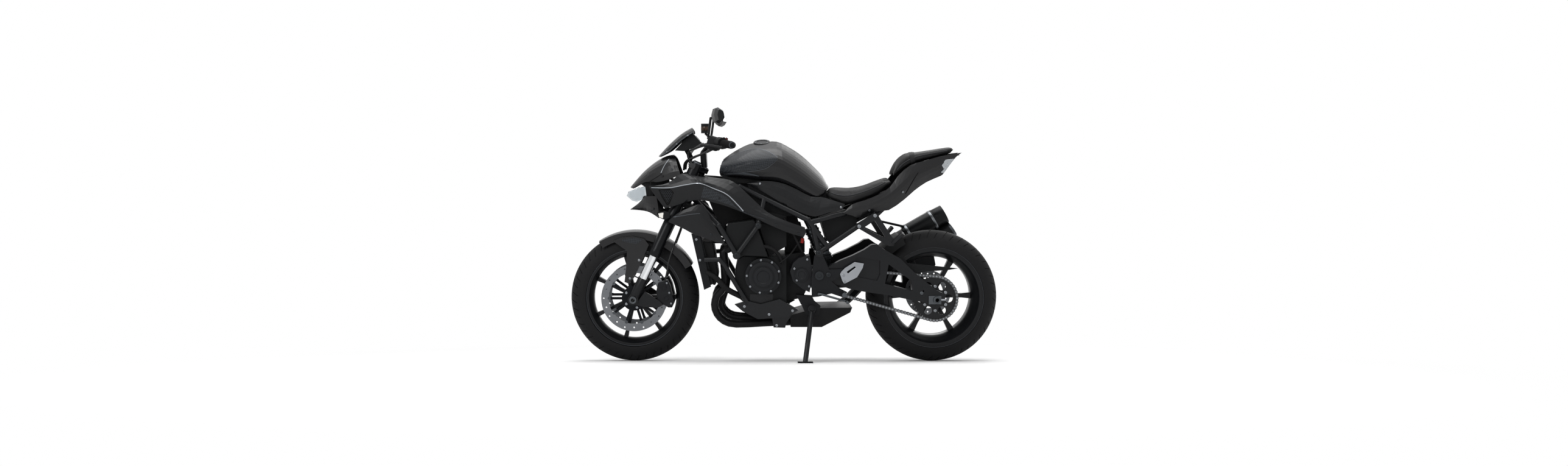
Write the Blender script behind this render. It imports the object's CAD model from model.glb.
from math import acos, atan2, cos, hypot, pi, radians, sin, sqrt, tau

import bmesh
import bpy
from mathutils import Matrix, Vector
from mathutils.bvhtree import BVHTree


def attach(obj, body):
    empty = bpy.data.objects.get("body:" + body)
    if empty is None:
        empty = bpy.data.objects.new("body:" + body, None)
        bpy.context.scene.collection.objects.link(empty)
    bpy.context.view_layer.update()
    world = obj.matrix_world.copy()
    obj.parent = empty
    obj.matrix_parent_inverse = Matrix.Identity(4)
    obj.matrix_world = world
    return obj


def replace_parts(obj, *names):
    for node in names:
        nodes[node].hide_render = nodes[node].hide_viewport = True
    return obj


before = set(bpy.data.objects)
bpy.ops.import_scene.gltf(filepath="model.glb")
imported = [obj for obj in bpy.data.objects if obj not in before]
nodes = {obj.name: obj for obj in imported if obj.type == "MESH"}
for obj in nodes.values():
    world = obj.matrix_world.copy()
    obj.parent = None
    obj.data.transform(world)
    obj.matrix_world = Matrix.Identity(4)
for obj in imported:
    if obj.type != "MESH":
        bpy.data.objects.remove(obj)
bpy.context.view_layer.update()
scene = bpy.context.scene
scene.view_settings.view_transform = "Standard"

# Viewpoint
# The picture looks square at the left side, from a little ahead of the middle and above the tank.
# The bike leans on its stand, so the camera leans with it and sees the bike as it was seen upright.
LEAN = radians(9)
BIKE = Matrix.Translation((-0.0031, 0.18305, 0)) @ Matrix.Rotation(LEAN, 4, "X")
IMAGE_W = 2576
IMAGE_H = 765
EYE_PX = (1216, 240)
EYE_DISTANCE = 5.2
METRES_PER_PX = 1.455 / 484.7
EYE_AT = Vector((-0.2115, -EYE_DISTANCE, 1.0554))
EYE = BIKE @ EYE_AT
SENSOR = 36


def begin():
    """Nothing stays selected, so the next operator acts on its own piece alone."""
    bpy.ops.object.select_all(action="DESELECT")


begin()
bpy.ops.object.camera_add(location=EYE, rotation=(pi / 2 + LEAN, 0, 0))
camera = bpy.context.object
camera.name = "camera"
camera.data.sensor_width = SENSOR
camera.data.lens = SENSOR * EYE_DISTANCE / METRES_PER_PX / IMAGE_W
camera.data.shift_x = (IMAGE_W / 2 - EYE_PX[0]) / IMAGE_W
camera.data.shift_y = (EYE_PX[1] - IMAGE_H / 2) / IMAGE_W
scene.camera = camera

# Studio
# A pale seamless floor under a broad overhead light, with softer ones from the camera's side and behind.
# Towards its far edge the floor fades into the white of the backdrop, so no horizon shows.
FLOOR_SIZE = 80
FADE_FROM = 1.2
FADE_TO = 3.2
WHITE = (1, 1, 1, 1)


def fill(node, **values):
    """Sets values on a shader node's own sockets. An underscore stands for a space in a name."""
    for socket, value in values.items():
        node.inputs[socket.replace("_", " ")].default_value = value
    return node


def add(tree, kind, **values):
    """A new shader node of a kind, with values on its own sockets."""
    return fill(tree.nodes.new("ShaderNode" + kind), **values)


def wire(tree, *links):
    """Joins shader nodes by links, each given as a node, its output, a node and its input."""
    for start, output, end, socket in links:
        tree.links.new(start.outputs[output], end.inputs[socket])


bpy.ops.mesh.primitive_plane_add(size=FLOOR_SIZE)
floor = bpy.context.object
floor.name = "floor"
floor_paint = bpy.data.materials.new("floor_paint")
floor_paint.use_nodes = True
tree = floor_paint.node_tree
shader = fill(tree.nodes["Principled BSDF"],
              Base_Color=(0.86, 0.86, 0.86, 1), Roughness=0.9, Specular_IOR_Level=0.1)
glow = add(tree, "Emission", Color=WHITE)
place = add(tree, "TexCoord")
away = add(tree, "VectorMath")
away.operation = "LENGTH"
fade = add(tree, "MapRange", From_Min=FADE_FROM, From_Max=FADE_TO)
fade.interpolation_type = "SMOOTHSTEP"
blend = add(tree, "MixShader")
wire(tree,
     (place, "Object", away, 0), (away, "Value", fade, "Value"), (fade, "Result", blend, "Fac"),
     (shader, "BSDF", blend, 1), (glow, "Emission", blend, 2),
     (blend, "Shader", tree.nodes["Material Output"], "Surface"))
floor.data.materials.append(floor_paint)

world = bpy.data.worlds.new("studio")
scene.world = world
world.use_nodes = True
tree = world.node_tree
ambient = fill(tree.nodes["Background"], Color=WHITE, Strength=0.45)
backdrop = add(tree, "Background", Color=WHITE, Strength=1)
ray = add(tree, "LightPath")
shown = add(tree, "Math")
straight = add(tree, "Math")
shown.operation = straight.operation = "MAXIMUM"
blend = add(tree, "MixShader")
wire(tree,
     (ray, "Is Camera Ray", shown, 0), (ray, "Is Glossy Ray", shown, 1),
     (shown, "Value", straight, 0), (ray, "Is Transmission Ray", straight, 1),
     (straight, "Value", blend, "Fac"), (ambient, "Background", blend, 1),
     (backdrop, "Background", blend, 2), (blend, "Shader", tree.nodes["World Output"], "Surface"))

for name, spot, turn, size, power in (
    ("overhead", (0, -0.4, 4.2), (0, 0, 0), 4.0, 190),
    ("front_side", (-2.6, -4.2, 2.6), (radians(62), 0, radians(-32)), 2.4, 120),
    ("behind", (1.8, 3.6, 2.6), (radians(-60), 0, radians(-26)), 2.4, 45),
):
    bpy.ops.object.light_add(type="AREA", location=spot, rotation=turn)
    lamp = bpy.context.object
    lamp.name = name
    lamp.data.size = size
    lamp.data.energy = power

# Frame
# A trellis of round steel tubes, welded, with a head tube for the fork and lugs for the panels.
# It is painted a satin black. Socket screws hold the engine and the rear frame to it.
WELD = 0.00002
SOFT_ANGLE = radians(40)
CREASE_ANGLE = radians(38)
FLANK = -0.15
MIRROR = BIKE @ Matrix.Scale(-1, 4, (0, 1, 0)) @ BIKE.inverted()


def tone(code):
    """A colour written as on a paint card, made linear."""
    parts = [int(code[i : i + 2], 16) / 255 for i in (1, 3, 5)]
    return [c / 12.92 if c <= 0.04045 else ((c + 0.055) / 1.055) ** 2.4 for c in parts]


def finish(name, code, rough, metal=0.0, coat=0.0, drift=0.18, grain=0.0, depth=0.0, shine=0.14,
           clear=0.0):
    """A surface whose colour and gloss drift a little, with a grain of a given size and depth."""
    made = bpy.data.materials.new(name)
    made.use_nodes = True
    tree = made.node_tree
    shader = fill(tree.nodes["Principled BSDF"],
                  Metallic=metal, Specular_IOR_Level=shine, Coat_Weight=coat, Coat_Roughness=0.12,
                  Transmission_Weight=clear)
    place = add(tree, "TexCoord")
    cloud = add(tree, "TexNoise", Scale=9, Detail=5)
    mix = add(tree, "Mix")
    mix.data_type = "RGBA"
    colour = tone(code)
    fill(mix, A=[c * (1 - drift) for c in colour] + [1], B=[min(1, c * (1 + drift)) for c in colour] + [1])
    gloss = add(tree, "MapRange", To_Min=rough * 0.82, To_Max=min(1, rough * 1.18))
    wire(tree,
         (place, "Object", cloud, "Vector"), (cloud, "Fac", mix, "Factor"),
         (mix, "Result", shader, "Base Color"), (cloud, "Fac", gloss, "Value"),
         (gloss, "Result", shader, "Roughness"))
    if grain:
        fine = add(tree, "TexNoise", Scale=grain, Detail=3)
        bump = add(tree, "Bump", Strength=depth, Distance=0.0006)
        wire(tree, (place, "Object", fine, "Vector"), (fine, "Fac", bump, "Height"),
             (bump, "Normal", shader, "Normal"))
    return made


def dress(material, *names, edge=0.0):
    """Gives CAD nodes their finish. A soft edge of a given width is a modifier over the welded facets."""
    for name in names:
        node = nodes[name]
        node.data.materials.clear()
        node.data.materials.append(material)
        node.modifiers.new("weld", "WELD").merge_threshold = WELD
        if edge:
            soft = node.modifiers.new("soft_edge", "BEVEL")
            soft.width = edge
            soft.segments = 2
            soft.limit_method = "ANGLE"
            soft.angle_limit = SOFT_ANGLE
            soft.use_clamp_overlap = True
        node.modifiers.new("crease", "EDGE_SPLIT").split_angle = CREASE_ANGLE


skins = {}


def skin(name, mesh):
    """Keeps a mesh's skin, so lines of sight can be tested against it."""
    skins[name] = BVHTree.FromPolygons([v.co for v in mesh.vertices], [f.vertices for f in mesh.polygons])


def upright(px, py, y=0.0):
    """A photographed point on the upright bike, at a given distance from its middle plane."""
    scale = METRES_PER_PX * (1 + y / EYE_DISTANCE)
    return Vector((EYE_AT.x + (px - EYE_PX[0]) * scale, y, EYE_AT.z - (py - EYE_PX[1]) * scale))


def seen(px, py, y=0.0):
    """A photographed point on the bike as it leans."""
    return BIKE @ upright(px, py, y)


def hit(node, start, way):
    """Where a line from a place meets a node, and the way out there."""
    if node not in skins:
        skin(node, nodes[node].data)
    return skins[node].ray_cast(start, way)[:2]


def on(node, px, py):
    """Where the line of sight through a photographed point meets a node, and the way out there."""
    spot, out = hit(node, EYE, seen(px, py) - EYE)
    if spot is None:
        spot, out, _, _ = skins[node].find_nearest(seen(px, py, FLANK))
    return spot, out


def other_side(spot, out):
    """The same place and way out on the bike's other side."""
    return MIRROR @ spot, MIRROR.to_3x3() @ out


def mirrored(places):
    """The given places and the same ones on the bike's other side."""
    return places + [other_side(*place) for place in places]


def pairs(node, points):
    """Places on both sides of a node, from photographed points on its left."""
    return mirrored([on(node, px, py) for px, py in points])


def edit():
    """Opens the piece in hand for editing, with all its faces selected."""
    bpy.ops.object.mode_set(mode="EDIT")
    bpy.ops.mesh.select_mode(type="FACE")
    bpy.ops.mesh.select_all(action="SELECT")


def shut():
    """Closes the piece in hand after editing."""
    bpy.ops.object.mode_set(mode="OBJECT")


def settle():
    """Puts the piece's place, turn and scale into its mesh."""
    bpy.ops.object.transform_apply(location=True, rotation=True, scale=True)


def pick(test):
    """In edit mode, selects the faces whose middle and normal pass a test."""
    mesh = bpy.context.object.data
    shape = bmesh.from_edit_mesh(mesh)
    for face in shape.faces:
        face.select_set(bool(test(face.calc_center_median(), face.normal)))
    bmesh.update_edit_mesh(mesh)


def round_head(sides, radius, height, middle, insets):
    """A round piece on the floor. Its top is stepped by insets, each a width and a rise."""
    begin()
    bpy.ops.mesh.primitive_cylinder_add(vertices=sides, radius=radius, depth=height,
                                        location=(0, 0, middle))
    settle()
    edit()
    pick(lambda middle, normal: normal.z > 0.9)
    for width, rise in insets:
        bpy.ops.mesh.inset(thickness=width, depth=rise)
    shut()
    return bpy.context.object


def own(piece, name, material, body="chassis"):
    """Names a finished piece, gives it its finish and lets it ride on a body."""
    piece.name = name
    piece.data.name = name
    piece.data.materials.clear()
    piece.data.materials.append(material)
    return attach(piece, body)


def set_out(shape, name, places, material, body="chassis"):
    """Stands a copy of a small shape on each place and joins the copies to one piece."""
    copies = []
    for spot, out in places:
        copy = shape.copy()
        copy.data = shape.data.copy()
        scene.collection.objects.link(copy)
        copy.matrix_world = Matrix.Translation(spot) @ out.to_track_quat("Z", "Y").to_matrix().to_4x4()
        copies.append(copy)
    bpy.data.objects.remove(shape)
    begin()
    for copy in copies:
        copy.select_set(True)
    bpy.context.view_layer.objects.active = copies[0]
    bpy.ops.object.join()
    settle()
    return own(bpy.context.object, name, material, body)


frame_paint = finish("frame_paint", "#121315", 0.36, coat=0.1, grain=160, depth=0.05)
dress(frame_paint, "main_frame", "engine_guards")
dress(frame_paint, "pillion_hangers", edge=0.002)
bright_screw = finish("bright_screw", "#7d8084", 0.3, metal=1.0)
black_screw = finish("black_screw", "#2a2c2e", 0.38, metal=0.8)


def screws(name, radius, height, places, material=bright_screw, body="chassis"):
    """Socket-head screws on places: chamfered round heads with a recess."""
    head = round_head(12, radius, height, height / 2,
                      ((radius * 0.14, height * 0.12), (radius * 0.34, 0), (radius * 0.03, -height * 0.6)))
    set_out(head, name, places, material, body)


screws("frame_screws", 0.011, 0.007,
       pairs("main_frame", [(1210, 419), (1245.5, 370), (1345, 415)])
       + pairs("pivot_plates", [(1361, 451)]), black_screw)
screws("guard_screws", 0.0065, 0.005,
       pairs("engine_guards", [(1302, 510), (1263.5, 516), (1223, 503), (1276, 534)]))
screws("hanger_screws", 0.0085, 0.006, pairs("pillion_hangers", [(1437.5, 354), (1411.5, 371.5)]))

# Pivot plates
# Cast alloy plates that carry the swingarm's pivot and the foot pegs, bolted to the trellis.
# The pivot's end shows as a round cap with a recess, and the heel rests on a brushed guard.
dress(finish("plate_cast", "#131416", 0.5, metal=0.1, grain=420, depth=0.25),
      "pivot_plates", "stand_bracket", edge=0.003)
dress(finish("brushed_alloy", "#8b8e92", 0.34, metal=1.0), "heel_guards", edge=0.001)
dark_steel = finish("dark_steel", "#4b4e51", 0.35, metal=1.0)
dress(dark_steel, "foot_levers")
screws("pivot_caps", 0.021, 0.006, pairs("swingarm", [(1346, 452.5)]), black_screw)
screws("heel_screws", 0.007, 0.004, pairs("heel_guards", [(1386, 452), (1387.5, 463)]))

# Engine
# A four-cylinder block of cast alloy with a black coat, bolted to the trellis as part of the frame.
# Round turned covers close both ends of the crank, held by small screws round their flanges.
# Rubber hoses and a red-tipped lead run over it, and rubber sheets hang in the openings beside it.
dress(finish("case_cast", "#0e0f10", 0.55, metal=0.1, grain=300, depth=0.35),
      "crankcase", "cylinder_block", edge=0.004)
cover_coat = finish("cover_coat", "#1a1b1d", 0.42, metal=0.25, grain=380, depth=0.2)
dress(cover_coat, "engine_covers", edge=0.004)
hose_rubber = finish("hose_rubber", "#0c0c0d", 0.6, grain=500, depth=0.2)
CRANK_END = upright(1254, 455, -0.214)
COVER_SCREW_Y = -0.184


def placed(x, y, z):
    """A place on the leaning bike, from the same place on the upright one."""
    return BIKE @ Vector((x, y, z))


def pointed(x, y, z):
    """A direction on the leaning bike, from the same direction on the upright one."""
    return BIKE.to_3x3() @ Vector((x, y, z)).normalized()


LEFTWARDS = pointed(0, -1, 0)


def bolt_circle(centre, radius, y, turns):
    """Places on a circle in a plane along the bike, at a given distance from its middle plane."""
    return [
        (placed(centre.x + radius * cos(a), y, centre.z + radius * sin(a)), LEFTWARDS)
        for a in map(radians, turns)
    ]


def hose(name, points, radius, material, body="chassis"):
    """A round hose or cable along a smooth line through the points."""
    begin()
    bpy.ops.curve.primitive_bezier_curve_add()
    line = bpy.context.object
    line.data.splines[0].bezier_points.add(len(points) - 2)
    for knot, point in zip(line.data.splines[0].bezier_points, points):
        knot.co = point
        knot.handle_left_type = knot.handle_right_type = "AUTO"
    line.data.bevel_depth = radius
    line.data.bevel_resolution = 3
    line.data.resolution_u = 8
    line.data.use_fill_caps = True
    bpy.ops.object.convert(target="MESH")
    bpy.ops.object.shade_smooth()
    return own(bpy.context.object, name, material, body)


def smooth(degrees):
    """Shades a piece smooth, apart from edges sharper than an angle."""
    bpy.ops.object.shade_smooth_by_angle(angle=radians(degrees))


def caps(name, radius, height, ring, dip, places, material, body="chassis"):
    """Turned caps on places: a chamfered edge, a raised ring and a sunk middle."""
    cap = round_head(40, radius, height, height / 2,
                     ((height * 0.35, height * 0.25), (ring, 0), (dip, -dip)))
    smooth(35)
    set_out(cap, name, places, material, body)


def apply(name):
    """Makes a modifier of the piece in hand part of its mesh."""
    bpy.ops.object.modifier_apply(modifier=name)


def wall(piece, thick, offset):
    """Gives a sheet its thickness, inwards, outwards or both."""
    made = piece.modifiers.new("wall", "SOLIDIFY")
    made.thickness = thick
    made.offset = offset
    apply("wall")


def soften(piece, width):
    """Rounds the sharp edges of a piece."""
    soft = piece.modifiers.new("soft", "BEVEL")
    soft.width = width
    soft.segments = 2
    soft.limit_method = "ANGLE"
    apply("soft")


def face_out():
    """Turns all faces of the piece in hand outwards."""
    edit()
    bpy.ops.mesh.normals_make_consistent(inside=False)
    shut()


def mat(name, corners, sides, thick, material):
    """A flat sheet with a photographed outline, hung along the bike at given distances from its middle."""
    sheets = []
    for y in sides:
        begin()
        bpy.ops.mesh.primitive_circle_add(vertices=len(corners), fill_type="NGON")
        sheet = bpy.context.object
        for v, (px, py) in zip(sheet.data.vertices, corners):
            v.co = seen(px, py, y)
        wall(sheet, thick, 0)
        soften(sheet, min(thick * 0.3, 0.004))
        sheets.append(sheet)
    for sheet in sheets:
        sheet.select_set(True)
    if len(sheets) > 1:
        bpy.ops.object.join()
    face_out()
    own(bpy.context.object, name, material)


def brick(size, bevel, segments=2, **stance):
    """A block with rounded edges."""
    begin()
    bpy.ops.mesh.primitive_cube_add(size=1, scale=size, **stance)
    settle()
    edit()
    bpy.ops.mesh.bevel(offset=bevel, segments=segments, affect="EDGES")
    shut()
    return bpy.context.object


caps("crank_caps", 0.045, 0.004, 0.012, 0.003, mirrored([(BIKE @ CRANK_END, LEFTWARDS)]), cover_coat)
screws("cover_screws", 0.0055, 0.006,
       mirrored(bolt_circle(CRANK_END, 0.078, COVER_SCREW_Y, range(18, 378, 40))))
caps("sprocket_cover_cap", 0.026, 0.004, 0.007, 0.002, [(seen(1317, 451, -0.178), LEFTWARDS)], cover_coat)
screws("sprocket_cover_screws", 0.0055, 0.006,
       [on("engine_covers", px, py) for px, py in ((1305, 441), (1326, 426), (1329, 470), (1309, 460))])
for name, radius, run in (
    ("coolant_hose", 0.009, ((1222, 418, -0.168), (1240, 407, -0.176), (1262, 406, -0.176),
                             (1278, 417, -0.172), (1285, 432, -0.16))),
    ("radiator_hose", 0.014, ((1160, 446, -0.176), (1176, 456, -0.182), (1194, 474, -0.176),
                              (1216, 486, -0.15))),
    ("crank_lead", 0.004, ((1281, 432, -0.172), (1296, 420, -0.165), (1310, 402, -0.14),
                           (1318, 392, -0.13))),
    ("breather_hose", 0.009, ((1243, 361, -0.12), (1268, 368, -0.145), (1296, 371, -0.14),
                              (1322, 381, -0.12))),
    ("engine_loom", 0.007, ((1288, 358, -0.13), (1299, 376, -0.14), (1310, 398, -0.14),
                            (1318, 414, -0.13))),
):
    hose(name, [seen(*point) for point in run], radius, hose_rubber)
mat("heat_mats", [(1160, 318), (1198, 312), (1248, 339), (1246, 361), (1232, 361), (1196, 366), (1188, 376),
                  (1174, 352)], (-0.06, 0.06), 0.003, hose_rubber)
mat("splash_flap", [(1289, 352), (1309, 353), (1314, 372), (1322, 396), (1322, 414), (1302, 418),
                    (1289, 420)], (0,), 0.004, hose_rubber)
mat("intake_rubbers", [(1242, 364), (1248, 371), (1262, 416), (1262, 421)], (0,), 0.2, hose_rubber)
own(brick((0.016, 0.01, 0.024), 0.002, location=seen(1318, 395, -0.132), rotation=(LEAN, 0.3, 0)),
    "lead_plug", finish("red_plug", "#7c1d16", 0.4))

# Exhaust
# Four welded steel headers under a black heat-proof coat run to a box under the gearbox.
# A link pipe on the right rises to a coated muffler with two pressed bands and a plain outlet.
dress(finish("header_coat", "#141415", 0.42, metal=0.3, drift=0.3, grain=400, depth=0.1),
      "exhaust_headers", edge=0.004)
dress(finish("muffler_coat", "#151617", 0.36, metal=0.3, grain=500, depth=0.12), "muffler", edge=0.003)
band_steel = finish("band_steel", "#6f7275", 0.35, metal=1.0)
MUFFLER_Y = 0.215
OUTLET_R = 0.0415


def band(radius, width, thick):
    """A pressed ring standing on the floor, with rounded edges."""
    begin()
    bpy.ops.mesh.primitive_cylinder_add(vertices=48, radius=radius, depth=width, end_fill_type="NOTHING")
    ring = bpy.context.object
    wall(ring, thick, 1)
    soften(ring, thick * 0.3)
    smooth(35)
    return ring


can_back = seen(1488, 387, MUFFLER_Y)
can_tip = seen(1551, 351, MUFFLER_Y)
can_way = (can_tip - can_back).normalized()
set_out(band(0.0525, 0.012, 0.002), "muffler_bands",
        [(can_back.lerp(can_tip, share), can_way) for share in (0.08, 0.7)], band_steel)
outlet = seen(1562, 376, MUFFLER_Y)
outlet_way = (outlet - seen(1530, 398, MUFFLER_Y)).normalized()
mouth = round_head(40, OUTLET_R, 0.012, 0.001, (
    (OUTLET_R * 0.06, 0.0015), (OUTLET_R * 0.08, 0), (OUTLET_R * 0.02, -0.0065), (OUTLET_R * 0.3, 0),
    (OUTLET_R * 0.02, -0.0015)))
smooth(35)
set_out(mouth, "muffler_outlet", [(outlet, outlet_way)], dark_steel)

# Radiator
# A thin alloy core of flat tubes between two side tanks, ahead of the headers.
# A moulded fan shroud is clipped to its back, and screws through the tanks hold it to the frame.
dress(finish("radiator_coat", "#111214", 0.5, metal=0.2, grain=250, depth=0.15), "radiator", edge=0.003)
CORE_Y = -0.168
TUBES = 38
core_top = upright(1142, 388, CORE_Y)
core_way = upright(1161, 471, CORE_Y) - core_top
core_step = core_way / TUBES
tube = brick((0.004, 0.33, core_step.length * 0.42), 0.0009, 1)
rows = tube.modifiers.new("rows", "ARRAY")
rows.count = TUBES - 2
rows.use_relative_offset = False
rows.use_constant_offset = True
rows.constant_offset_displace = core_step
apply("rows")
tube.matrix_world = BIKE @ Matrix.Translation(
    (core_top.x + core_step.x * 1.5 - 0.0005, 0, core_top.z + core_step.z * 1.5))
settle()
own(tube, "radiator_tubes", finish("tube_alloy", "#3a3c3f", 0.45, metal=0.8))
mat("fan_shroud", [(1154, 392), (1172, 393), (1181, 452), (1176, 462), (1172, 461)],
    (0,), 0.29, hose_rubber)
screws("radiator_screws", 0.006, 0.005, pairs("radiator", [(1144, 393), (1150, 427)]))

# Fuel tank
# A pressed steel tank in satin black, with a woven inlay on each flank under the same lacquer.
# A locking filler cap is screwed into the top, and a thin blade of trim runs along the lower edge.
# A plain sheet under the blade closes the gap to the frame.
tank_paint = finish("tank_paint", "#08080a", 0.36, coat=0.12, shine=0.25)
dress(tank_paint, "fuel_tank")
mould_black = finish("mould_black", "#0d0e0f", 0.6, grain=900, depth=0.3)
dress(mould_black, "airbox", edge=0.003)
FILLER_X = -0.105
ABOVE_TANK = 1.5
FILLER_CIRCLE = 0.033


def woven(name, dark, light, pitch):
    """A twill of flat black tows under lacquer, crossing at right angles."""
    made = finish(name, dark, 0.42, coat=0.12)
    tree = made.node_tree
    shader = tree.nodes["Principled BSDF"]
    place = add(tree, "TexCoord")
    turn = add(tree, "Mapping", Rotation=(0, radians(38), 0))
    weave = add(tree, "TexChecker", Scale=1 / pitch, Color1=tone(dark) + [1], Color2=tone(light) + [1])
    tows = add(tree, "TexWave", Scale=0.5 / pitch)
    tows.bands_direction = "X"
    bump = add(tree, "Bump", Strength=0.15, Distance=0.0004)
    wire(tree,
         (place, "Object", turn, "Vector"), (turn, "Vector", weave, "Vector"),
         (turn, "Vector", tows, "Vector"), (weave, "Color", shader, "Base Color"),
         (tows, "Fac", bump, "Height"), (bump, "Normal", shader, "Normal"))
    return made


carbon_twill = woven("carbon_twill", "#15171a", "#282b2f", 0.006)


def along(points, share):
    """A point at a share of a smooth line through photographed points."""
    spot = share * (len(points) - 1)
    i = min(int(spot), len(points) - 2)
    a, b, c, d = (Vector(points[min(max(k, 0), len(points) - 1)]) for k in (i - 1, i, i + 1, i + 2))
    t = spot - i
    return (2 * b + (c - a) * t + (2 * a - 5 * b + 4 * c - d) * t * t + (3 * b - a - 3 * c + d) * t**3) / 2


def beside(line, right, down):
    """A photographed line moved by some pixels."""
    return [(px + right, py + down) for px, py in line]


def strip(name, node, high, low, steps, across, lift, thick, material, body="chassis"):
    """A thin panel that lies on a node between two photographed lines, and its twin on the other side."""
    begin()
    bpy.ops.mesh.primitive_grid_add(x_subdivisions=steps, y_subdivisions=across, size=1)
    panel = bpy.context.object
    for v in panel.data.vertices:
        u, w = v.co.x + 0.5, v.co.y + 0.5
        spot = along(low, u).lerp(along(high, u), w)
        place, out = on(node, spot.x, spot.y)
        v.co = place + out * lift
    wall(panel, thick, 0)
    bpy.ops.object.duplicate()
    for v in bpy.context.object.data.vertices:
        v.co = MIRROR @ v.co
    panel.select_set(True)
    bpy.context.view_layer.objects.active = panel
    bpy.ops.object.join()
    face_out()
    smooth(40)
    own(panel, name, material, body)


strip("tank_inlays", "fuel_tank",
      [(1184, 271), (1200, 257), (1220, 249), (1240, 245), (1260, 249), (1277, 259)],
      [(1184, 282), (1200, 283), (1216, 282), (1238, 279), (1260, 274), (1276, 262)],
      30, 10, 0.0012, 0.002, carbon_twill)
edge_grey = finish("edge_grey", "#44474b", 0.3, metal=0.6)
edge_light = finish("edge_light", "#8f9398", 0.3, metal=0.5)
for name, line in (
    ("tank_rims_high", [(1181.5, 281), (1183.5, 272), (1190, 262.5), (1205, 254.5), (1222, 248),
                        (1240, 244), (1260, 248), (1277, 258)]),
    ("tank_rims_low", [(1184, 283), (1200, 284), (1216, 283), (1238, 280), (1260, 275), (1277, 262)]),
):
    strip(name, "fuel_tank", line, beside(line, 0, 0.8), 40, 1, 0.0018, 0.0012, edge_grey)
strip("tank_blades", "fuel_tank",
      [(1186, 287), (1205, 283.5), (1228, 283.5), (1247, 288)],
      [(1187, 289), (1205, 286), (1228, 286.5), (1247, 289.5)], 20, 2, 0.0015, 0.002, edge_grey)
crown, crown_way = hit("fuel_tank", placed(FILLER_X, 0, ABOVE_TANK), pointed(0, 0, -1))
caps("filler_cap", 0.041, 0.007, 0.01, 0.0025, [(crown - crown_way * 0.004, crown_way)], frame_paint)
cap_face = crown_way.to_track_quat("Z", "Y").to_matrix()
screw_seat = crown + crown_way * 0.0025
screws("filler_screws", 0.0035, 0.003, [
    (screw_seat + cap_face @ Vector((cos(a), sin(a), 0)) * FILLER_CIRCLE, crown_way)
    for a in (0.5, 1.55, 2.6, 3.64, 4.69, 5.74)])
mat("tank_infills", [(1186, 288), (1206, 286), (1250, 290), (1250, 303), (1226, 301), (1198, 300),
                     (1187, 296)], (-0.1, 0.1), 0.003, mould_black)

# Knee panels
# Moulded panels in satin black that fill the space between the tank and the frame.
# Each is held by two screws.
panel_paint = finish("panel_paint", "#0d0e10", 0.36, coat=0.14, grain=120, depth=0.03)
dress(panel_paint, "tank_side_panels", edge=0.001)
screws("knee_screws", 0.0055, 0.004, pairs("tank_side_panels", [(1248.5, 301.5), (1381.5, 340)]))

# Seats
# Foam on a moulded pan under a grained vinyl cover, sewn along the edge of the top panel.
# The covers are drawn tight by a cloth simulation of the pans' own shapes, then the seams are laid in.
seat_vinyl = finish("seat_vinyl", "#0a0a0b", 0.6, grain=900, depth=0.55)
seam_thread = finish("seam_thread", "#2a2b2d", 0.6)
SWELL = 0.006
PRESSURE = 4
FRAMES = 20


def cushion(node, name):
    """A padded cover grown from a copy of the node's own solid."""
    begin()
    pad = bpy.data.objects.new(name, nodes[node].data.copy())
    scene.collection.objects.link(pad)
    pad.select_set(True)
    bpy.context.view_layer.objects.active = pad
    edit()
    bpy.ops.mesh.remove_doubles(threshold=0.00005)
    bpy.ops.transform.shrink_fatten(value=-0.0015)
    shut()
    cover = pad.modifiers.new("skin", "REMESH")
    cover.mode = "VOXEL"
    cover.voxel_size = 0.005
    apply("skin")
    rest = [v.co.copy() for v in pad.data.vertices]
    stuff = pad.modifiers.new("stuff", "CLOTH")
    stuff.settings.use_pressure = True
    stuff.settings.uniform_pressure_force = PRESSURE
    stuff.settings.effector_weights.gravity = 0
    stuff.point_cache.frame_start = 1
    stuff.point_cache.frame_end = FRAMES
    for step in range(1, FRAMES + 1):
        scene.frame_set(step)
    apply("stuff")
    scene.frame_set(1)
    for v, was in zip(pad.data.vertices, rest):
        move = v.co - was
        if move.length > SWELL:
            v.co = was + move.normalized() * SWELL
    even = pad.modifiers.new("even", "SMOOTH")
    even.factor = 0.5
    even.iterations = 4
    apply("even")
    fine = pad.modifiers.new("fine", "SUBSURF")
    fine.levels = fine.render_levels = 1
    apply("fine")
    bpy.ops.object.shade_smooth()
    own(pad, name, seat_vinyl)
    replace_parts(pad, node)
    skin(name, pad.data)


cushion("rider_seat", "rider_cushion")
cushion("pillion_seat", "pillion_cushion")


def seam(name, node, points, steps, radius):
    """A row of piping that follows a photographed line over a cushion, on both sides."""
    left = [on(node, *along(points, k / steps)) for k in range(steps + 1)]
    for title, places in ((name, left), (name + "_right", [other_side(*place) for place in left])):
        hose(title, [spot + out * radius * 0.3 for spot, out in places], radius, seam_thread)


seam("rider_piping", "rider_cushion",
     [(1364, 316), (1378, 320.5), (1396, 321), (1420, 314.5), (1440, 306.5), (1454, 299.5)], 26, 0.0022)
seam("pillion_piping", "pillion_cushion",
     [(1474, 279), (1486, 267), (1506, 257.5), (1534, 251.5), (1556, 247.5)], 22, 0.002)
mat("seat_bridge", [(1344, 318), (1353, 313), (1364, 319), (1362, 325), (1350, 326)],
    (0,), 0.12, mould_black)
strip("pillion_strap", "pillion_cushion",
      [(1497, 270), (1495, 262), (1494, 254), (1494, 251)],
      [(1504, 266), (1502, 259), (1501, 253), (1501, 250)],
      16, 3, 0.0015, 0.003, finish("strap_web", "#161617", 0.7, grain=1400, depth=0.5))

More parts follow.
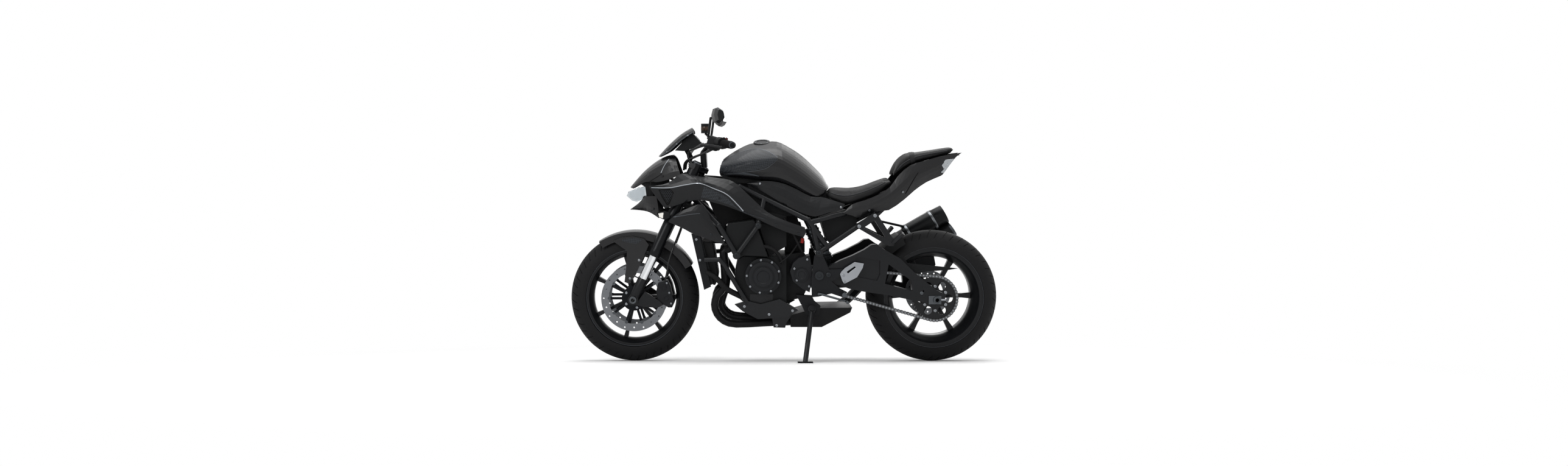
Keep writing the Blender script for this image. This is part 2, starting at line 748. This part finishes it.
# Tail
# Two moulded shells, a tray below and a deck behind the seat, in satin black like the tank.
# A clear lamp with a red core closes the end, and two screws on each side hold the shells to the frame.
dress(tank_paint, "tail_cowl", edge=0.001)
screws("tail_screws", 0.0055, 0.004, pairs("tail_cowl", [(1483, 315), (1428, 345)]))
lamp_clear = finish("lamp_clear", "#b9bec2", 0.08, coat=1.0, drift=0.05, clear=0.35)
dress(lamp_clear, "tail_lamp", edge=0.004)
strip("tail_lamp_lenses", "tail_cowl", [(1569, 259.5), (1562.5, 267.5), (1556, 276), (1549.5, 283.5)],
      [(1560, 263.5), (1555, 270), (1550.5, 277), (1545.5, 283)], 14, 4, 0.0016, 0.0012, lamp_clear)
tail_red = finish("tail_red", "#7a0c10", 0.15, coat=0.9)
strip("tail_lamp_core", "tail_lamp", [(1549, 270), (1556, 266), (1562, 263)],
      [(1546, 280), (1550, 279), (1554, 275)], 8, 4, 0.0008, 0.0015, tail_red)
BEHIND_TAIL = 1.4
lamp_back = hit("tail_lamp", placed(BEHIND_TAIL, 0, upright(1556, 271).z), pointed(-1, 0, 0))
set_out(brick((0.062, 0.014, 0.003), 0.0012), "tail_lamp_bar", [lamp_back], tail_red)
gap_black = finish("gap_black", "#050505", 0.8)
tail_seam = [(1508, 283), (1501, 294), (1494, 306), (1487, 318)]
strip("tail_seams", "tail_cowl", tail_seam, beside(tail_seam, 1, 0.4), 16, 1, 0.0006, 0.001, gap_black)

# Front cowl
# A moulded nose in satin black over the lamp, with a lower jaw that carries the indicators.
# Fine seams part its panels, and screws along the sides fix it to a stay from the head tube.
dress(tank_paint, "front_cowl", edge=0.001)
mat("cowl_infills", [(1052, 302), (1062, 296), (1100, 289), (1100, 304), (1078, 311), (1072, 322),
                     (1062, 322), (1060, 307)], (-0.062, 0.062), 0.003, mould_black)
cowl_seam = [(1052, 306), (1064, 299.5), (1078, 291), (1088, 284.5)]
strip("cowl_seams", "front_cowl", cowl_seam, beside(cowl_seam, 0, 1), 20, 1, 0.0006, 0.001, gap_black)
strip("cowl_edge_lines", "front_cowl", [(1099, 261), (1093, 269), (1089, 276), (1085.5, 283.5)],
      [(1100, 261), (1094, 269), (1090, 276), (1086.5, 284)], 16, 1, 0.0006, 0.001, edge_light)
screws("cowl_screws", 0.005, 0.003, pairs("front_cowl", [(1104, 278), (1074, 343)]), black_screw)

# Headlamp
# A clear moulded lens over a bright reflector with a single projector, set between nose and jaw.
# The lens wraps back along both sides.
dress(finish("reflector", "#c3c8cc", 0.12, metal=1.0, drift=0.06, grain=40, depth=0.3),
      "headlamp", edge=0.004)
lens_clear = finish("lens_clear", "#eef2f4", 0.04, coat=1.0, drift=0.02, clear=0.9)
fill(lens_clear.node_tree.nodes["Principled BSDF"], IOR=1.3)
strip("lamp_lens_sides", "headlamp", [(1034, 315), (1040, 310.5), (1050, 307), (1060, 305)],
      [(1034, 322), (1041, 328), (1050, 329), (1058, 327)], 14, 10, 0.003, 0.002, lens_clear)
nose_way = pointed(-1, 0, 0.12)
caps("lamp_projector", 0.013, 0.006, 0.003, 0.003,
     [(seen(1035, 319) + nose_way * 0.002, nose_way)], dark_steel)

# Side fairings and shrouds
# Moulded panels in satin black, each with a bright line on its crease and a woven face below it.
# They are clipped to lugs on the frame. The air intake at the front has a honeycomb grille.
dress(panel_paint, "side_fairings", "lower_shrouds", edge=0.001)
dress(mould_black, "intake_grilles")
strip("fairing_edges", "side_fairings",
      [(1070, 307.5), (1100, 307.5), (1125, 303), (1148, 300.5), (1170, 308), (1192, 317.5),
       (1206, 329), (1222, 346)],
      [(1070, 308.5), (1100, 308.7), (1125, 304.2), (1148, 301.7), (1170, 309.2), (1191.5, 318.7),
       (1205, 330), (1220.5, 346.6)], 60, 1, 0.001, 0.0016, edge_light)
strip("fairing_inlays", "side_fairings",
      [(1156, 306), (1176, 314), (1194, 324), (1206, 336), (1224, 348), (1258, 360)],
      [(1152, 324), (1176, 329), (1194, 334.5), (1208, 340.5), (1224, 349.5), (1258, 361)],
      36, 8, 0.0008, 0.0012, carbon_twill)
strip("intake_mouths", "side_fairings", [(1082, 311.5), (1092, 311), (1101, 310.6), (1107, 317)],
      [(1088, 325), (1092, 331), (1096, 337), (1100, 335)], 12, 10, 0.0008, 0.0012, gap_black)
GRILLE = [(1083.5, 312.5), (1101, 311.5), (1106, 318), (1097, 336)]
CELL_PX = (3, 2.6)


def within(px, py, corners):
    """Whether a photographed point lies inside a convex outline."""
    sides = zip(corners, corners[1:] + corners[:1])
    return all((b[0] - a[0]) * (py - a[1]) > (b[1] - a[1]) * (px - a[0]) for a, b in sides)


cells = [(1082 + CELL_PX[0] * (i + j % 2 / 2), 311 + CELL_PX[1] * j) for i in range(10) for j in range(11)]
begin()
bpy.ops.mesh.primitive_cylinder_add(vertices=6, radius=0.0052, depth=0.003, end_fill_type="NOTHING",
                                    location=(0, 0, 0.0015))
cell = bpy.context.object
wall(cell, 0.0011, -1)
settle()
set_out(cell, "intake_mesh", pairs("side_fairings", [c for c in cells if within(*c, GRILLE)]),
        finish("mould_grey", "#2b2d30", 0.5))
crease = [(1106, 356), (1122, 353.5), (1138, 351), (1150, 350)]
strip("shroud_creases", "lower_shrouds", crease, beside(crease, 0, 0.9),
      20, 1, 0.0008, 0.0012, edge_grey)
screws("fairing_screws", 0.006, 0.0035,
       pairs("side_fairings", [(1182, 325), (1275, 369), (1312, 383)])
       + pairs("lower_shrouds", [(1168, 385)]), black_screw)
dress(mould_black, "front_indicators", edge=0.004)
indicator_lens = finish("indicator_lens", "#d8d6cf", 0.1, coat=0.6, drift=0.05)
strip("indicator_lenses", "front_indicators", [(1081.5, 350.6), (1086, 349.6), (1090, 349)],
      [(1083, 356.2), (1086, 357.4), (1089, 358.4)], 6, 4, 0.0008, 0.0012, indicator_lens)

# Swingarm and rear axle
# A pressed alloy fork in satin black, with a window and a pocket in each arm, on a coil-sprung shock.
# The hollow axle runs through sliding blocks with adjuster screws; a hugger is bolted over the tyre.
swing_paint = finish("swing_paint", "#111214", 0.38, metal=0.1, coat=0.08, grain=300, depth=0.08)
dress(swing_paint, "swingarm", edge=0.004)
dress(dark_steel, "rear_axle", "rear_shock", edge=0.001)
dress(mould_black, "rear_hugger", edge=0.001)
HUB_BACK = Vector((0.7275, 0, 0.32221))
SPRING_R = 0.036
SPRING_TURNS = 7
KNOTS_A_TURN = 12
set_out(band(0.0125, 0.012, 0.006), "rear_axle_nuts",
        mirrored([(BIKE @ (HUB_BACK + Vector((0, -0.177, 0))), LEFTWARDS)]), dark_steel)
screws("chain_adjusters", 0.005, 0.02,
       mirrored([(BIKE @ (HUB_BACK + Vector((0.019, -0.171, 0))), pointed(1, 0, 0))]))
screws("stand_bobbins", 0.008, 0.004, pairs("swingarm", [(1514, 481)]), dark_steel)
shock_low = Vector((0.238, 0, 0.445))
shock_high = upright(1327, 361, -0.16)
shock_high.y = 0
coils = []
for k in range(KNOTS_A_TURN * SPRING_TURNS + 1):
    a = tau * k / KNOTS_A_TURN
    core = shock_low.lerp(shock_high, 0.24 + 0.56 * k / (KNOTS_A_TURN * SPRING_TURNS))
    coils.append(BIKE @ (core + Vector((cos(a), sin(a), 0)) * SPRING_R))
hose("shock_spring", coils, 0.005, finish("spring_steel", "#2c2e30", 0.35, metal=0.7))

# Chain drive
# A roller chain of steel links, with the head of a pin at every joint, round a toothed steel sprocket.
# The sprocket is bolted to the hub's carrier, which turns with the wheel.
dress(finish("chain_steel", "#4e4f50", 0.4, metal=1.0, drift=0.3), "chain", edge=0.0006)
dress(frame_paint, "rear_sprocket", edge=0.0006)
PITCH = 0.015875
REAR_TEETH = 42
DRIVE_TEETH = 16
PIN_Y = -0.121
DRIVE = upright(1317, 451, -0.112)
rear_r = REAR_TEETH * PITCH / tau
drive_r = DRIVE_TEETH * PITCH / tau
reach = Vector((HUB_BACK.x - DRIVE.x, HUB_BACK.z - DRIVE.z))
slope = atan2(reach.y, reach.x)
lap = acos((drive_r - rear_r) / reach.length)
run = sqrt(reach.length**2 - (rear_r - drive_r) ** 2)
rear, drive = (HUB_BACK, rear_r), (DRIVE, drive_r)
SPANS = (
    (run, slope + lap, 0, drive, rear),
    (rear_r * 2 * lap, slope + lap, -1 / rear_r, rear, rear),
    (run, slope - lap, 0, rear, drive),
    (drive_r * (tau - 2 * lap), slope - lap, -1 / drive_r, drive, drive),
)
loop = sum(span[0] for span in SPANS)
links = 2 * round(loop / PITCH / 2)
pins = []
for k in range(links):
    s = k * loop / links
    for length, angle, bend, start, end in SPANS:
        if s < length:
            break
        s -= length
    a = angle + bend * s
    way = Vector((cos(a), 0, sin(a)))
    spot = (start[0] + way * start[1]).lerp(end[0] + way * end[1], s / length)
    pins.append((placed(spot.x, PIN_Y, spot.z), LEFTWARDS))
set_out(round_head(8, 0.0042, 0.003, 0, ((0.0012, 0.0006),)), "chain_pins", pins, bright_screw)
screws("sprocket_nuts", 0.0075, 0.006, bolt_circle(HUB_BACK, 0.058, -0.116, range(30, 390, 60)),
       body="rear_wheel")

# Fork
# Upside-down legs: anodised outer tubes in two forged bridges, with short bright stanchions below.
# Rubber seals close the tubes' lower ends. Cast feet clamp the axle and carry the calipers.
dress(finish("fork_coat", "#0f1012", 0.3, metal=0.2, grain=200, depth=0.04), "fork_tubes", edge=0.002)
dress(swing_paint, "fork_bridges", "fork_feet", edge=0.003)
dress(finish("chrome", "#d2d4d6", 0.06, metal=1.0, drift=0.03), "fork_stanchions")
dress(dark_steel, "front_axle")
HUB_FRONT = Vector((-0.7275, 0, 0.315785))
RAKE = radians(25)
LEG_OFFSET = 0.039
LEG_SIDES = (-0.104, 0.104)
UP_LEG = Vector((sin(RAKE), 0, cos(RAKE)))
BACK_OF_LEG = Vector((cos(RAKE), 0, -sin(RAKE)))
STEER_FOOT = HUB_FRONT + LEG_OFFSET * BACK_OF_LEG
LEG_WAY = pointed(*UP_LEG)


def on_leg(y, up, ahead=LEG_OFFSET):
    """A place on the fork, by its height along the leg and its distance ahead of the steering axis."""
    return BIKE @ (STEER_FOOT - BACK_OF_LEG * ahead + Vector((0, y, 0)) + up * UP_LEG)


caps("fork_caps", 0.024, 0.004, 0.006, 0.002,
     [(on_leg(y, 0.724), LEG_WAY) for y in LEG_SIDES], edge_grey, "steering")
caps("stem_nut", 0.021, 0.004, 0.005, 0.002, [(on_leg(0, 0.718, 0), LEG_WAY)], bright_screw, "steering")
set_out(band(0.0273, 0.006, 0.0018), "fork_seals",
        [(on_leg(y, 0.236), LEG_WAY) for y in LEG_SIDES], hose_rubber, "steering")
screws("bridge_screws", 0.005, 0.006,
       [(on_leg(y, up, 0.069), pointed(*-BACK_OF_LEG)) for y in (-0.08, 0.08) for up in (0.517, 0.706)],
       body="steering")
set_out(band(0.0125, 0.01, 0.005), "front_axle_nuts",
        mirrored([(BIKE @ (HUB_FRONT + Vector((0, -0.1305, 0))), LEFTWARDS)]), dark_steel, "steering")

# Front fender
# A moulded arch in satin black over the tyre, with a woven inlay on each cheek.
# Two legs carry it to the fork feet, held by small screws.
dress(tank_paint, "front_fender", edge=0.001)
strip("fender_inlays", "front_fender", [(1022, 393), (1040, 390.5), (1057, 393)],
      [(1022, 396), (1036, 399), (1046, 400)], 14, 4, 0.0008, 0.0012, carbon_twill, "steering")
screws("fender_screws", 0.006, 0.004, pairs("front_fender", [(1050, 427), (1035, 457)]), body="steering")

# Brakes
# Radial calipers of two bridged halves, with two piston caps each, bolted to the fork feet.
# Braided hoses run down behind the legs from the lower bridge. A small caliper rides on the swingarm.
caliper_coat = finish("caliper_coat", "#17181a", 0.42, metal=0.25, grain=400, depth=0.15)
dress(caliper_coat, "rear_caliper", "front_calipers", edge=0.003)
caps("caliper_pistons", 0.0125, 0.003, 0.003, 0.0015,
     pairs("front_calipers", [(1090.5, 472), (1094.5, 489)]), caliper_coat, "steering")
screws("caliper_screws", 0.005, 0.006,
       pairs("front_calipers", [(1095.5, 464.5), (1099.5, 480.5), (1102.5, 498)]), body="steering")
braid = finish("braid", "#0f0f10", 0.4, coat=0.4)
BRAKE_RUN = (
    (upright(1121, 366, -0.05), 0.04), (upright(1117, 378, -0.09), 0.075), (upright(1111, 394, -0.1), 0.1),
    (upright(1104, 412, -0.125), 0.128), (upright(1099, 428, -0.125), 0.128),
    (upright(1096, 446, -0.11), 0.112), (upright(1092, 462, -0.092), 0.092))
for side, name in ((-1, "left_brake_hose"), (1, "right_brake_hose")):
    hose(name, [placed(p.x, side * y, p.z) for p, y in BRAKE_RUN], 0.0042, braid, "steering")

# Handlebar and controls
# A drawn alloy bar in black, clamped to risers on the top bridge, with rubber grips and end weights.
# Each side has a moulded switch box, a forged lever and a perch that also takes a mirror.
# Cables and looms run from the boxes down behind the cowl.
dress(finish("bar_coat", "#131415", 0.32, metal=0.4, grain=220, depth=0.05), "handlebar")
dress(mould_black, "bar_controls")
grip_rubber = finish("grip_rubber", "#0e0e0f", 0.75, grain=500, depth=0.5)
dress(grip_rubber, "grips")
GRIP_IN = Vector((-0.314, -0.265, 1.072))
BAR_END = Vector((-0.248, -0.385, 1.06))
BAR_WAY = (BAR_END - GRIP_IN).normalized()
SWITCH_WAY = Vector((0.35, 0, 0.5)).normalized()
SWITCH_LIFT = SWITCH_WAY * 0.0262
CUP = Vector((-0.392, 0.232, 1.146))
CUP_LID = Vector((0, 0, 0.019))


def both_ends(spot, way):
    """A place on the left of the bar, and its twin on the right."""
    return mirrored([(BIKE @ spot, pointed(*way))])


rings = [place for k in range(9) for place in both_ends(GRIP_IN.lerp(BAR_END, 0.42 + 0.06 * k), BAR_WAY)]
set_out(band(0.0168, 0.0042, 0.0012), "grip_ribs", rings, grip_rubber, "steering")
caps("bar_weights", 0.0165, 0.012, 0.004, 0.002, both_ends(BAR_END - BAR_WAY * 0.016, BAR_WAY), edge_grey,
     "steering")
set_out(brick((0.052, 0.05, 0.066), 0.012, 3), "switch_boxes",
        both_ends(Vector((-0.338, -0.243, 1.069)), (0.3, 0, 1)), mould_black, "steering")
caps("kill_switch", 0.007, 0.004, 0.002, 0.001,
     [(BIKE @ (Vector((-0.3, 0.29, 1.0695)) + SWITCH_LIFT), pointed(*SWITCH_WAY))],
     finish("red_switch", "#8c1a14", 0.35), "steering")
caps("left_switches", 0.006, 0.004, 0.002, 0.001,
     [(BIKE @ (Vector(spot) + SWITCH_LIFT), pointed(*SWITCH_WAY))
      for spot in ((-0.301, -0.288, 1.0697), (-0.289, -0.31, 1.0677))], grip_rubber, "steering")
caps("reservoir_lid", 0.0215, 0.005, 0.005, 0.001,
     [(BIKE @ (CUP + CUP_LID), pointed(0, 0, 1))], mould_black, "steering")
set_out(band(0.0211, 0.02, 0.0008), "reservoir_window", [(BIKE @ CUP, pointed(0, 0, 1))],
        finish("cup_amber", "#2e1d0d", 0.2, coat=0.3), "steering")
CABLE_RUN = ((-0.385, 0.205, 1.06), (-0.43, 0.16, 1.045), (-0.465, 0.09, 1.02), (-0.462, 0.05, 0.985),
             (-0.45, 0.04, 0.95))
LOOM_RUN = ((-0.35, 0.225, 1.04), (-0.395, 0.19, 1.018), (-0.44, 0.14, 1.0), (-0.478, 0.1, 0.975),
            (-0.485, 0.085, 0.94))
MASTER_RUN = ((-0.4, 0.2, 1.07), (-0.44, 0.165, 1.045), (-0.462, 0.12, 1.01), (-0.466, 0.08, 0.97),
              (-0.46, 0.06, 0.93))
for name, run, side, radius in (
    ("clutch_cable", CABLE_RUN, -1, 0.0038), ("throttle_cable", CABLE_RUN, 1, 0.0038),
    ("left_loom", LOOM_RUN, -1, 0.005), ("right_loom", LOOM_RUN, 1, 0.005),
    ("master_hose", MASTER_RUN, 1, 0.0042),
):
    hose(name, [placed(x, side * y, z) for x, y, z in run], radius, braid, "steering")

# Mirrors
# Moulded shells on cranked rods that screw into the perches on the bar.
# A silvered glass is set in each, inside a dark rim.
dress(finish("shell_black", "#101112", 0.4), "mirrors", edge=0.003)
dress(finish("mirror_silver", "#cfd5d8", 0.03, metal=1.0, drift=0.02), "mirror_glass")

# Screen and instruments
# A small smoked screen, screwed on over a flat housing with a sealed display.
# Both sit on a stay from the top bridge and turn with the bar.
dress(finish("smoke_screen", "#060708", 0.26, drift=0.05, shine=0.08, clear=0.12), "screen", edge=0.0008)
strip("screen_band", "screen", [(1087, 254.8), (1101, 246), (1120, 228.8), (1138, 217)],
      [(1087, 255.8), (1101, 247.6), (1120, 230.2), (1138, 218)], 24, 2, 0.0008, 0.0012, edge_grey,
      "steering")
screws("screen_screws", 0.004, 0.003, pairs("screen", [(1096, 249.5), (1112, 236.8), (1130, 222.8)]),
       body="steering")
dress(mould_black, "meter", edge=0.004)
face_top = upright(1141, 221.5)
face_foot = upright(1151, 233)
face_run = face_foot - face_top
begin()
bpy.ops.mesh.primitive_cube_add(size=1, scale=(0.004, 0.112, face_run.length * 0.92))
dial = bpy.context.object
settle()
edit()
pick(lambda middle, normal: normal.x > 0.9)
bpy.ops.mesh.inset(thickness=0.004)
bpy.ops.mesh.inset(thickness=0.0008, depth=-0.0012)
bpy.ops.mesh.select_all(action="SELECT")
bpy.ops.mesh.bevel(offset=0.0006, segments=1, affect="EDGES")
shut()
tilt = atan2(face_run.x, -face_run.z)
face_mid = face_top.lerp(face_foot, 0.5)
dial.matrix_world = BIKE @ Matrix.Translation(face_mid) @ Matrix.Rotation(-tilt, 4, "Y")
settle()
own(dial, "display", finish("glass_black", "#0a0c0e", 0.06, coat=1.0), "steering")

# Wheels
# Cast alloy wheels in satin black, with a machined line round the lip, on sealed hubs.
# The discs are ground steel, drilled; the front pair floats on bobbins, and the rear one is smaller.
dress(finish("rim_paint", "#101113", 0.34, metal=0.1, coat=0.1, grain=160, depth=0.04),
      "front_rim", "rear_rim", edge=0.003)


def ground_steel(name, hub, inside):
    """Steel with fine rings round a hub, left by grinding, on a carrier in black inside a given radius."""
    made = finish(name, "#66686b", 0.34, metal=0.9, drift=0.12)
    tree = made.node_tree
    shader = tree.nodes["Principled BSDF"]
    centre = Matrix.Rotation(-LEAN, 3, "X") @ (BIKE @ hub)
    place = add(tree, "TexCoord")
    turn = add(tree, "Mapping", Rotation=(-LEAN, 0, 0), Location=(-centre.x, 0, -centre.z))
    flat = add(tree, "VectorMath")
    flat.operation = "MULTIPLY"
    flat.inputs[1].default_value = (1, 0, 1)
    away = add(tree, "VectorMath")
    away.operation = "LENGTH"
    rings = add(tree, "TexNoise")
    rings.noise_dimensions = "1D"
    fill(rings, Scale=900)
    bump = add(tree, "Bump", Strength=0.25, Distance=0.0002)
    outside = add(tree, "Math")
    outside.operation = "GREATER_THAN"
    outside.inputs[1].default_value = inside
    mix = add(tree, "Mix")
    mix.data_type = "RGBA"
    fill(mix, A=tone("#17181a") + [1])
    tree.links.new(shader.inputs["Base Color"].links[0].from_socket, mix.inputs["B"])
    wire(tree,
         (place, "Object", turn, "Vector"), (turn, "Vector", flat, 0), (flat, "Vector", away, 0),
         (away, "Value", rings, "W"), (rings, "Fac", bump, "Height"), (away, "Value", outside, 0),
         (outside, "Value", mix, "Factor"), (mix, "Result", shader, "Base Color"),
         (bump, "Normal", shader, "Normal"))
    return made


dress(ground_steel("front_disc_steel", HUB_FRONT, 0.1235), "front_discs")
dress(ground_steel("rear_disc_steel", HUB_BACK, 0.0765), "rear_disc")
DISC_Y = -0.069
caps("front_disc_bobbins", 0.0075, 0.003, 0.002, 0.001,
     mirrored(bolt_circle(HUB_FRONT, 0.121, DISC_Y, range(0, 360, 36))), dark_steel, "front_wheel")
screws("front_disc_screws", 0.0065, 0.005,
       mirrored(bolt_circle(HUB_FRONT, 0.046, DISC_Y, range(0, 360, 72))), body="front_wheel")
screws("rear_disc_screws", 0.0065, 0.005,
       [other_side(*place) for place in bolt_circle(HUB_BACK, 0.046, -0.085, range(0, 360, 60))],
       body="rear_wheel")
for name, hub, radius, half, body in (
    ("front_rim_lines", HUB_FRONT, 0.2335, 0.0502, "front_wheel"),
    ("rear_rim_lines", HUB_BACK, 0.2415, 0.0852, "rear_wheel"),
):
    set_out(band(radius, 0.0012, 0.0028), name,
            [(BIKE @ (hub + Vector((0, y, 0))), LEFTWARDS) for y in (-half, half)], edge_grey, body)

# Tyres
# Radial road tyres of black rubber. Slanted grooves in pairs cross the tread on either side of the crown.
# The sidewalls are smooth down to the rim.
tyre_rubber = finish("tyre_rubber", "#111112", 0.7, grain=350, depth=0.3)
COLUMNS = 384
GROOVE_BEAT = 16
GROOVE_DEPTH = 0.003
TREAD_THICK = 0.006
SWEEP = 1.4


def tyre(name, node, hub, mid, crown, reach, rows, slant, body):
    """A tyre whose columns of faces slant back from the crown; some are sunk as grooves."""
    begin()
    bpy.ops.mesh.primitive_grid_add(x_subdivisions=COLUMNS, y_subdivisions=rows, size=1)
    tread = bpy.context.object
    for v in tread.data.vertices:
        turn, side = v.co.x + 0.5, v.co.y * 2
        across = side * radians(reach)
        around = turn * tau + slant * abs(side) ** SWEEP
        radius = mid + crown * cos(across)
        spoke = Vector((radius * cos(around), crown * sin(across), radius * sin(around)))
        v.co = BIKE @ (hub + spoke)
    edit()
    bpy.ops.mesh.remove_doubles(threshold=0.0001)
    bpy.ops.mesh.normals_make_consistent(inside=False)

    def groove(middle, normal):
        spot = BIKE.inverted() @ middle - hub
        across = atan2(spot.y, hypot(spot.x, spot.z) - mid)
        side = across / radians(reach)
        around = atan2(spot.z, spot.x) - slant * abs(side) ** SWEEP
        beat = round((around % tau) / tau * COLUMNS - 0.5) % GROOVE_BEAT
        first, second = (0, GROOVE_BEAT // 2) if side < 0 else (GROOVE_BEAT // 2, 0)
        return beat == first and 0.08 < abs(side) < 0.6 or beat == second and 0.36 < abs(side) < 0.64

    pick(groove)
    bpy.ops.mesh.inset(thickness=0.0005, depth=-GROOVE_DEPTH, use_even_offset=False)
    shut()
    wall(tread, TREAD_THICK, -1)
    smooth(30)
    own(tread, name, tyre_rubber, body)
    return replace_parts(tread, node)


tyre("front_tread", "front_tyre", HUB_FRONT, 0.2517, 0.063, 104, 40, 0.16, "front_wheel")
tyre("rear_tread", "rear_tyre", HUB_BACK, 0.2237, 0.097, 78, 44, 0.2, "rear_wheel")

# Side stand
# A forged leg with a flat foot, painted like the frame.
# It turns on a bracket under the gearbox.
dress(frame_paint, "side_stand", edge=0.002)
